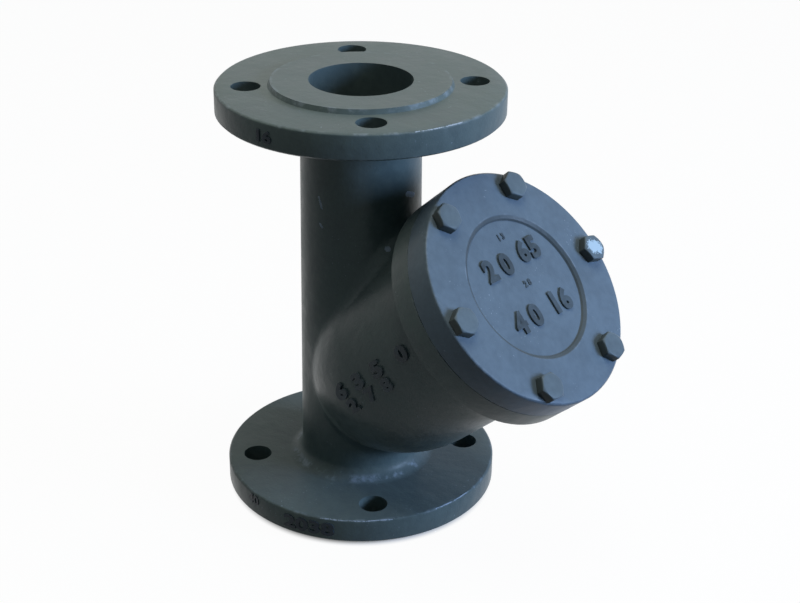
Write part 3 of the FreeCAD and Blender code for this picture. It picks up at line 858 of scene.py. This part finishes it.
def punched_tube():
    """Corners (turn, reach, radius) and faces of the rolled sheet with its holes."""
    border, angles = cell_rings()
    width = 2 * math.pi / HOLES_ROUND
    rows, columns = np.meshgrid(np.arange(HOLE_ROWS), np.arange(HOLES_ROUND), indexing="ij")
    turn = ((columns + (rows % 2) / 2) * width).reshape(-1, 1)
    reach = (TUBE_LOW + END_MARGIN + rows * ROW_PITCH).reshape(-1, 1)
    edge = np.stack([turn + border[:, 0] * width, reach + border[:, 1] * ROW_PITCH], -1)
    hole = np.stack([turn + np.cos(angles) * HOLE_RADIUS / TUBE_OUTER,
                     reach + np.sin(angles) * HOLE_RADIUS], -1)
    rings = []
    for ring, radius in ((edge, TUBE_OUTER), (hole, TUBE_OUTER), (hole, TUBE_INNER), (edge, TUBE_INNER)):
        rings.append(np.concatenate([ring, np.full(ring.shape[:2] + (1,), radius)], -1))
    bands = np.stack(rings, axis=1)
    cells = bands.shape[0]
    index = np.arange(cells * 4 * 32).reshape(cells, 4, 32)
    after = np.roll(index, -1, axis=2)
    faces = np.stack([index[:, :-1], after[:, :-1], after[:, 1:], index[:, 1:]], -1).reshape(-1, 4)
    return bands.reshape(-1, 3), faces


def plain_ends():
    """Corners and faces of the unpunched strip at both ends of the sheet, round its cut edge."""
    count = HOLES_ROUND * 8
    turn = np.arange(count) * 2 * math.pi / count + math.pi / HOLES_ROUND
    half = ROW_PITCH / 2
    blocks, faces = [], []
    start = 0
    for cut, inner in ((TUBE_LOW, TUBE_LOW + END_MARGIN - half),
                       (TUBE_HIGH, TUBE_HIGH - END_MARGIN + half)):
        section = ((inner, TUBE_OUTER), (cut, TUBE_OUTER), (cut, TUBE_INNER), (inner, TUBE_INNER))
        rows = [np.stack([turn, np.full(count, reach), np.full(count, radius)], -1)
                for reach, radius in section]
        blocks.append(np.concatenate(rows))
        index = np.arange(4 * count).reshape(4, count) + start
        after = np.roll(index, -1, axis=1)
        faces.append(np.stack([index[:-1], after[:-1], after[1:], index[1:]], -1).reshape(-1, 4))
        start += 4 * count
    return np.concatenate(blocks), np.concatenate(faces)


cell_corners, cell_faces = punched_tube()
end_corners, end_faces = plain_ends()
flat = np.concatenate([cell_corners, end_corners])
faces = np.concatenate([cell_faces, end_faces + len(cell_corners)])
tube_mesh = mesh_of("punched_basket", rolled_up(flat), faces.tolist())
soften(tube_mesh, 40.0, 0.001 * MM, turn_out=True)
tube_mesh.materials.append(stainless)
punched_basket = shown("punched_basket", tube_mesh)
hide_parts("basket_tube")
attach(punched_basket, "basket")
print("punched sheet: %d holes, %d faces" % (HOLE_ROWS * HOLES_ROUND, len(tube_mesh.polygons)))
for node, name in (("basket_lower_ring", "lower_ring"), ("basket_upper_ring", "upper_ring")):
    ring_piece = welded_copy(node, name, stainless, 40.0)
    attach(ring_piece, "basket")

# %% [markdown]
# Inside the punched sheet lies a sleeve of woven wire, which does the straining. In a plain
# weave each wire goes over one neighbour and under the next, so its distance from the sleeve's
# axis is a wave, and the waves of two neighbours are opposite. All wires of one direction
# are one array: a centre line from that formula, and four corners set round it. A bump on a
# plain tube would be lighter, but no light would pass between its wires. The real weave is
# finer: the wires here are fewer and thicker to keep the mesh small.

# %% Woven wire sleeve
WIRES_ALONG, WIRES_ROUND, WIRE = 84, 60, 0.13 * MM
SWING = WIRE * 0.95
sleeve_places = node_places("basket_mesh")
sleeve_reach = np.hypot(sleeve_places[:, 1], sleeve_places[:, 2])
SLEEVE_RADIUS = float(sleeve_reach.max() - 0.3 * MM)


def woven_wires(turn, reach, radius, closed):
    """Corners and faces of four sided wires from their centre lines, given as arrays of (wire, point)."""
    centre = np.stack([turn, reach, radius], -1)
    offsets = [(0, 0, WIRE), (WIRE / SLEEVE_RADIUS, WIRE, 0),
               (0, 0, -WIRE), (-WIRE / SLEEVE_RADIUS, -WIRE, 0)]
    corners = np.stack([centre + np.array(offset) for offset in offsets], axis=2)
    wires, points = turn.shape
    index = np.arange(wires * points * 4).reshape(wires, points, 4)
    start, end = (index, np.roll(index, -1, axis=1)) if closed else (index[:, :-1], index[:, 1:])
    faces = np.stack([start, np.roll(start, -1, axis=2), np.roll(end, -1, axis=2), end], -1).reshape(-1, 4)
    if not closed:
        faces = np.concatenate([faces, index[:, 0, ::-1], index[:, -1]])
    return corners.reshape(-1, 3), faces


def wire_sleeve():
    """Straight wires and hoops; each swings out and in by a wire's thickness as it passes the others."""
    spots = np.arange(2 * WIRES_ROUND + 1)
    reach_line = TUBE_LOW + 0.6 * MM + spots * (TUBE_HIGH - TUBE_LOW - 1.2 * MM) / (2 * WIRES_ROUND)
    number, spot = np.meshgrid(np.arange(WIRES_ALONG), spots, indexing="ij")
    swing = np.sin(spot * math.pi / 2) * np.where(number % 2, 1.0, -1.0)
    straight = woven_wires(number * 2 * math.pi / WIRES_ALONG, reach_line[spot],
                           SLEEVE_RADIUS + SWING * swing, False)
    hoop_reach = reach_line[1::2]
    number, spot = np.meshgrid(np.arange(WIRES_ROUND), np.arange(2 * WIRES_ALONG), indexing="ij")
    swing = np.cos(spot * math.pi / 2) * np.where(number % 2, -1.0, 1.0)
    hoops = woven_wires(spot * math.pi / WIRES_ALONG, hoop_reach[number],
                        SLEEVE_RADIUS + SWING * swing, True)
    corners = np.concatenate([straight[0], hoops[0]])
    return corners, np.concatenate([straight[1], hoops[1] + len(straight[0])])


sleeve_corners, sleeve_faces = wire_sleeve()
sleeve_mesh = mesh_of("wire_sleeve", rolled_up(sleeve_corners), sleeve_faces.tolist())
soften(sleeve_mesh, 100.0, 0.001 * MM, turn_out=True)
sleeve_mesh.materials.append(wire_steel)
sleeve = shown("wire_sleeve_piece", sleeve_mesh)
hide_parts("basket_mesh")
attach(sleeve, "basket")
print("wire sleeve: %d straight wires, %d hoops, %d faces" % (
    WIRES_ALONG, WIRES_ROUND, len(sleeve_mesh.polygons)))

# %% [markdown]
# The gasket under the cover is a flat ring cut from black fibre board. Its shape in the
# solids is right, so the node stays and gets its own material: matt, with short pale fibres.

# %% Gasket
def fibre_material():
    """Matt black board with fibres: noise stretched by a coarse warp, faded to a few pale flecks."""
    material, graph, place = begin_material("gasket_board")
    fibre = graph.node("TexNoise", {"Vector": place, "Scale": 1 / (0.7 * MM), "Detail": 3.0,
                                    "Distortion": 2.5}).outputs["Fac"]
    tint = graph.mix(graph.fade(fibre, 0.56, 0.72), (0.035, 0.036, 0.038, 1), (0.14, 0.135, 0.125, 1))
    rough = graph.math("MULTIPLY_ADD", fibre, 0.2, 0.68)
    bump = graph.node("Bump", {"Height": graph.math("MULTIPLY", fibre, 0.06 * MM), "Distance": 1.0})
    end_material(graph, {"Base Color": tint, "Roughness": rough, "Normal": bump.outputs["Normal"]})
    return material


gasket_mesh = frame["nodes"]["cover_gasket"].data
gasket_mesh.materials.clear()
gasket_mesh.materials.append(fibre_material())
print("gasket board on cover_gasket")

# %% [markdown]
